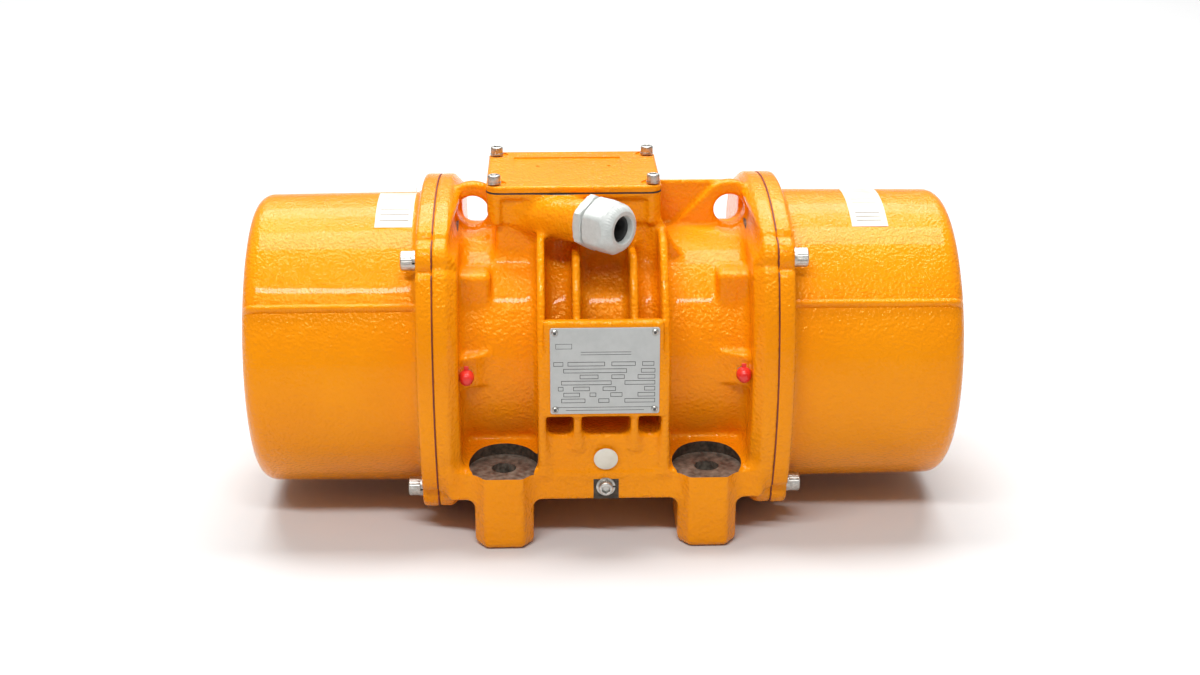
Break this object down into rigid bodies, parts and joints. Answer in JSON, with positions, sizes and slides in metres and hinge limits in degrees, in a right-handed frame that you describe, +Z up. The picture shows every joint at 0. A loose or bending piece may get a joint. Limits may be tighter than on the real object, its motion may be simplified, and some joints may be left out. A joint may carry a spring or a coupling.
{
  "type": "vibration motor",
  "caption": "Foot-mounted vibration motor: ribbed cast housing, terminal box with angled cable gland, two end caps over eccentric weights that set its force.",
  "frame": {"origin": "on the mounting plane under the feet, at the centre of the four foot holes", "axes": "+X along the rotor shaft, to the right as the nameplate is read; -Y out of the nameplate; +Z up, away from the mounting plane"},
  "size_m": [0.49, 0.236, 0.2472],
  "materials": {
    "orange_paint": "glossy orange enamel over a cast skin",
    "zinc_steel": "zinc plated, dull",
    "bare_iron": "machined, bare",
    "ground_steel": "ground, oiled",
    "spring_steel": "blackened",
    "weight_steel": "flame cut and turned",
    "core_steel": "stacked laminations",
    "winding_resin": "varnished copper wire bundle",
    "cast_aluminium": "die cast",
    "cage_brass": "turned",
    "stud_brass": "turned",
    "black_rubber": "moulded, matt",
    "board_plastic": "moulded phenolic",
    "grey_polyamide": "moulded, satin light grey",
    "red_plastic": "soft moulded cap",
    "plate_metal": "satin sheet"
  },
  "bodies": {
    "housing": {"cover_gasket": "black_rubber", "cover_screws": "zinc_steel", "cover_washers": "zinc_steel", "earth_screw": "zinc_steel", "earth_washer": "zinc_steel", "gland_body": "grey_polyamide", "gland_nut": "grey_polyamide", "gland_seal": "black_rubber", "left_bearing_clip": "spring_steel", "left_bearing_flange": "bare_iron", "left_bearing_flange_screws": "zinc_steel", "left_bearing_outer_ring": "ground_steel", "left_cap_screws": "zinc_steel", "left_cap_seal": "black_rubber", "left_cap_washers": "zinc_steel", "left_end_cap": "orange_paint", "left_grease_nipple": "zinc_steel", "left_nipple_cap": "red_plastic", "nameplate": "plate_metal", "nameplate_rivets": "plate_metal", "right_bearing_clip": "spring_steel", "right_bearing_flange": "bare_iron", "right_bearing_flange_screws": "zinc_steel", "right_bearing_outer_ring": "ground_steel", "right_cap_screws": "zinc_steel", "right_cap_seal": "black_rubber", "right_cap_washers": "zinc_steel", "right_end_cap": "orange_paint", "right_grease_nipple": "zinc_steel", "right_nipple_cap": "red_plastic", "stator_core": "core_steel", "stator_housing": "orange_paint", "stator_windings": "winding_resin", "terminal_board": "board_plastic", "terminal_box_cover": "orange_paint", "terminal_nuts": "stud_brass", "terminal_studs": "stud_brass"},
    "rotor": {"rotor_shaft": "ground_steel", "rotor_core": "core_steel", "rotor_end_rings": "cast_aluminium", "shaft_clips": "spring_steel", "left_bearing_inner_ring": "ground_steel", "left_shaft_spacer": "ground_steel", "left_fixed_weight": "weight_steel", "left_weight_key": "ground_steel", "right_bearing_inner_ring": "ground_steel", "right_shaft_spacer": "ground_steel", "right_fixed_weight": "weight_steel", "right_weight_key": "ground_steel"},
    "left_setting_weight": {"left_adjustable_weight": "weight_steel", "left_clamp_screw": "zinc_steel", "left_clamp_nut": "zinc_steel"},
    "left_roller_set": {"left_rollers": "ground_steel", "left_roller_cage": "cage_brass"},
    "right_setting_weight": {"right_adjustable_weight": "weight_steel", "right_clamp_screw": "zinc_steel", "right_clamp_nut": "zinc_steel"},
    "right_roller_set": {"right_rollers": "ground_steel", "right_roller_cage": "cage_brass"}
  },
  "joints": [
    {"name": "rotor_spin", "type": "hinge", "parent": "housing", "child": "rotor", "pos_m": [0, 0, 0.117], "axis": [1, 0, 0], "continuous": true},
    {"name": "left_weight_setting", "type": "hinge", "parent": "rotor", "child": "left_setting_weight", "pos_m": [0, 0, 0.117], "axis": [1, 0, 0], "range_deg": [0, 180]},
    {"name": "right_weight_setting", "type": "hinge", "parent": "rotor", "child": "right_setting_weight", "pos_m": [0, 0, 0.117], "axis": [1, 0, 0], "range_deg": [0, 180]},
    {"name": "left_roller_set_spin", "type": "hinge", "parent": "housing", "child": "left_roller_set", "pos_m": [0, 0, 0.117], "axis": [1, 0, 0], "continuous": true},
    {"name": "right_roller_set_spin", "type": "hinge", "parent": "housing", "child": "right_roller_set", "pos_m": [0, 0, 0.117], "axis": [1, 0, 0], "continuous": true}
  ],
  "couplings": [
    {"joint": "left_roller_set_spin", "follows": "rotor_spin", "ratio": 0.4034},
    {"joint": "right_roller_set_spin", "follows": "rotor_spin", "ratio": 0.4034}
  ]
}
